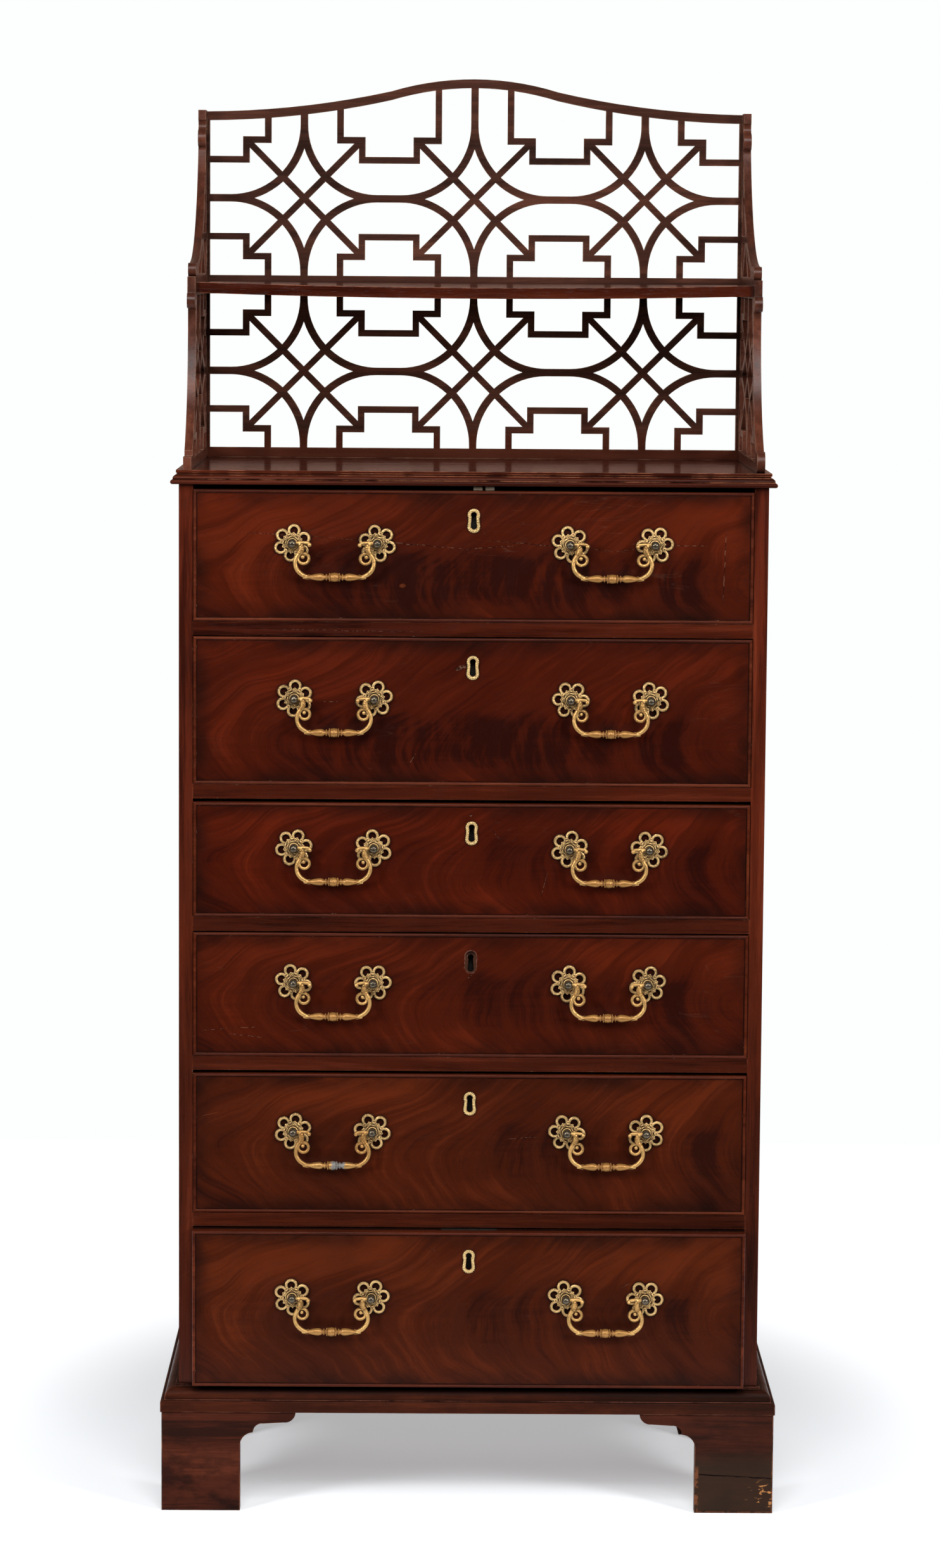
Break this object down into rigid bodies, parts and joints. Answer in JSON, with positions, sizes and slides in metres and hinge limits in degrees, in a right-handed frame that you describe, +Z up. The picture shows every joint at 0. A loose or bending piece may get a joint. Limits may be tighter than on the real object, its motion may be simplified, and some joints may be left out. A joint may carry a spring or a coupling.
{
  "type": "tall chest of drawers",
  "caption": "Tall narrow mahogany chest of graduated drawers on bracket feet, with pierced brass swing handles and an open fretwork shelf gallery on its top.",
  "frame": {"origin": "middle of the bounding box at floor level", "axes": "+X to the right as seen from the front, +Y to the back, +Z up; the drawers open towards -Y"},
  "size_m": [0.69, 0.3822, 1.608],
  "materials": {
    "mahogany": "waxed, worn",
    "figured_mahogany": "polished flame-figured veneer",
    "cockbead_wood": "waxed, worn",
    "secondary_wood": "unfinished, aged",
    "gilt_brass": "gilded, worn",
    "lock_brass": "aged"
  },
  "bodies": {
    "case": {"case_side_left": "mahogany", "case_side_right": "mahogany", "case_bottom": "mahogany", "back_boards": "secondary_wood", "drawer_rails": "mahogany", "drawer_runners": "secondary_wood", "dust_boards": "secondary_wood", "drawer_stops": "secondary_wood", "top_board": "mahogany", "base_moulding": "mahogany", "front_feet": "mahogany", "rear_feet": "mahogany", "foot_blocks": "secondary_wood", "gallery_back": "mahogany", "gallery_side_left": "mahogany", "gallery_side_right": "mahogany", "gallery_shelf": "mahogany"},
    "drawer_1": {"drawer_1_front": "figured_mahogany", "drawer_1_box": "secondary_wood", "drawer_1_cockbead": "cockbead_wood", "drawer_1_brasses": "gilt_brass"},
    "drawer_1_bolt": {"drawer_1_lock_bolt": "lock_brass"},
    "drawer_1_left_bail": {"drawer_1_bail_left": "gilt_brass"},
    "drawer_1_right_bail": {"drawer_1_bail_right": "gilt_brass"},
    "drawer_2": {"drawer_2_front": "figured_mahogany", "drawer_2_box": "secondary_wood", "drawer_2_cockbead": "cockbead_wood", "drawer_2_brasses": "gilt_brass"},
    "drawer_2_bolt": {"drawer_2_lock_bolt": "lock_brass"},
    "drawer_2_left_bail": {"drawer_2_bail_left": "gilt_brass"},
    "drawer_2_right_bail": {"drawer_2_bail_right": "gilt_brass"},
    "drawer_3": {"drawer_3_front": "figured_mahogany", "drawer_3_box": "secondary_wood", "drawer_3_cockbead": "cockbead_wood", "drawer_3_brasses": "gilt_brass"},
    "drawer_3_bolt": {"drawer_3_lock_bolt": "lock_brass"},
    "drawer_3_left_bail": {"drawer_3_bail_left": "gilt_brass"},
    "drawer_3_right_bail": {"drawer_3_bail_right": "gilt_brass"},
    "drawer_4": {"drawer_4_front": "figured_mahogany", "drawer_4_box": "secondary_wood", "drawer_4_cockbead": "cockbead_wood", "drawer_4_brasses": "gilt_brass"},
    "drawer_4_bolt": {"drawer_4_lock_bolt": "lock_brass"},
    "drawer_4_left_bail": {"drawer_4_bail_left": "gilt_brass"},
    "drawer_4_right_bail": {"drawer_4_bail_right": "gilt_brass"},
    "drawer_5": {"drawer_5_front": "figured_mahogany", "drawer_5_box": "secondary_wood", "drawer_5_cockbead": "cockbead_wood", "drawer_5_brasses": "gilt_brass"},
    "drawer_5_bolt": {"drawer_5_lock_bolt": "lock_brass"},
    "drawer_5_left_bail": {"drawer_5_bail_left": "gilt_brass"},
    "drawer_5_right_bail": {"drawer_5_bail_right": "gilt_brass"},
    "drawer_6": {"drawer_6_front": "figured_mahogany", "drawer_6_box": "secondary_wood", "drawer_6_cockbead": "cockbead_wood", "drawer_6_brasses": "gilt_brass"},
    "drawer_6_bolt": {"drawer_6_lock_bolt": "lock_brass"},
    "drawer_6_left_bail": {"drawer_6_bail_left": "gilt_brass"},
    "drawer_6_right_bail": {"drawer_6_bail_right": "gilt_brass"}
  },
  "joints": [
    {"name": "drawer_1_slide", "type": "slide", "parent": "case", "child": "drawer_1", "axis": [0, -1, 0], "range_m": [0, 0.22]},
    {"name": "drawer_1_bolt_throw", "type": "slide", "parent": "drawer_1", "child": "drawer_1_bolt", "axis": [0, 0, 1], "range_m": [-0.006, 0]},
    {"name": "drawer_1_left_bail_swing", "type": "hinge", "parent": "drawer_1", "child": "drawer_1_left_bail", "pos_m": [-0.153, -0.1659, 1.0885], "axis": [-1, 0, 0], "range_deg": [-8, 95]},
    {"name": "drawer_1_right_bail_swing", "type": "hinge", "parent": "drawer_1", "child": "drawer_1_right_bail", "pos_m": [0.153, -0.1659, 1.0885], "axis": [-1, 0, 0], "range_deg": [-8, 95]},
    {"name": "drawer_2_slide", "type": "slide", "parent": "case", "child": "drawer_2", "axis": [0, -1, 0], "range_m": [0, 0.22]},
    {"name": "drawer_2_bolt_throw", "type": "slide", "parent": "drawer_2", "child": "drawer_2_bolt", "axis": [0, 0, 1], "range_m": [-0.006, 0]},
    {"name": "drawer_2_left_bail_swing", "type": "hinge", "parent": "drawer_2", "child": "drawer_2_left_bail", "pos_m": [-0.153, -0.1659, 0.9165], "axis": [-1, 0, 0], "range_deg": [-8, 95]},
    {"name": "drawer_2_right_bail_swing", "type": "hinge", "parent": "drawer_2", "child": "drawer_2_right_bail", "pos_m": [0.153, -0.1659, 0.9165], "axis": [-1, 0, 0], "range_deg": [-8, 95]},
    {"name": "drawer_3_slide", "type": "slide", "parent": "case", "child": "drawer_3", "axis": [0, -1, 0], "range_m": [0, 0.22]},
    {"name": "drawer_3_bolt_throw", "type": "slide", "parent": "drawer_3", "child": "drawer_3_bolt", "axis": [0, 0, 1], "range_m": [-0.006, 0]},
    {"name": "drawer_3_left_bail_swing", "type": "hinge", "parent": "drawer_3", "child": "drawer_3_left_bail", "pos_m": [-0.153, -0.1659, 0.7502], "axis": [-1, 0, 0], "range_deg": [-8, 95]},
    {"name": "drawer_3_right_bail_swing", "type": "hinge", "parent": "drawer_3", "child": "drawer_3_right_bail", "pos_m": [0.153, -0.1659, 0.7502], "axis": [-1, 0, 0], "range_deg": [-8, 95]},
    {"name": "drawer_4_slide", "type": "slide", "parent": "case", "child": "drawer_4", "axis": [0, -1, 0], "range_m": [0, 0.22]},
    {"name": "drawer_4_bolt_throw", "type": "slide", "parent": "drawer_4", "child": "drawer_4_bolt", "axis": [0, 0, 1], "range_m": [-0.006, 0]},
    {"name": "drawer_4_left_bail_swing", "type": "hinge", "parent": "drawer_4", "child": "drawer_4_left_bail", "pos_m": [-0.153, -0.1659, 0.5989], "axis": [-1, 0, 0], "range_deg": [-8, 95]},
    {"name": "drawer_4_right_bail_swing", "type": "hinge", "parent": "drawer_4", "child": "drawer_4_right_bail", "pos_m": [0.153, -0.1659, 0.5989], "axis": [-1, 0, 0], "range_deg": [-8, 95]},
    {"name": "drawer_5_slide", "type": "slide", "parent": "case", "child": "drawer_5", "axis": [0, -1, 0], "range_m": [0, 0.22]},
    {"name": "drawer_5_bolt_throw", "type": "slide", "parent": "drawer_5", "child": "drawer_5_bolt", "axis": [0, 0, 1], "range_m": [-0.006, 0]},
    {"name": "drawer_5_left_bail_swing", "type": "hinge", "parent": "drawer_5", "child": "drawer_5_left_bail", "pos_m": [-0.153, -0.1659, 0.4306], "axis": [-1, 0, 0], "range_deg": [-8, 95]},
    {"name": "drawer_5_right_bail_swing", "type": "hinge", "parent": "drawer_5", "child": "drawer_5_right_bail", "pos_m": [0.153, -0.1659, 0.4306], "axis": [-1, 0, 0], "range_deg": [-8, 95]},
    {"name": "drawer_6_slide", "type": "slide", "parent": "case", "child": "drawer_6", "axis": [0, -1, 0], "range_m": [-0.02, 0.2]},
    {"name": "drawer_6_bolt_throw", "type": "slide", "parent": "drawer_6", "child": "drawer_6_bolt", "axis": [0, 0, 1], "range_m": [-0.006, 0]},
    {"name": "drawer_6_left_bail_swing", "type": "hinge", "parent": "drawer_6", "child": "drawer_6_left_bail", "pos_m": [-0.153, -0.1859, 0.2458], "axis": [-1, 0, 0], "range_deg": [-8, 95]},
    {"name": "drawer_6_right_bail_swing", "type": "hinge", "parent": "drawer_6", "child": "drawer_6_right_bail", "pos_m": [0.153, -0.1859, 0.2458], "axis": [-1, 0, 0], "range_deg": [-8, 95]}
  ]
}
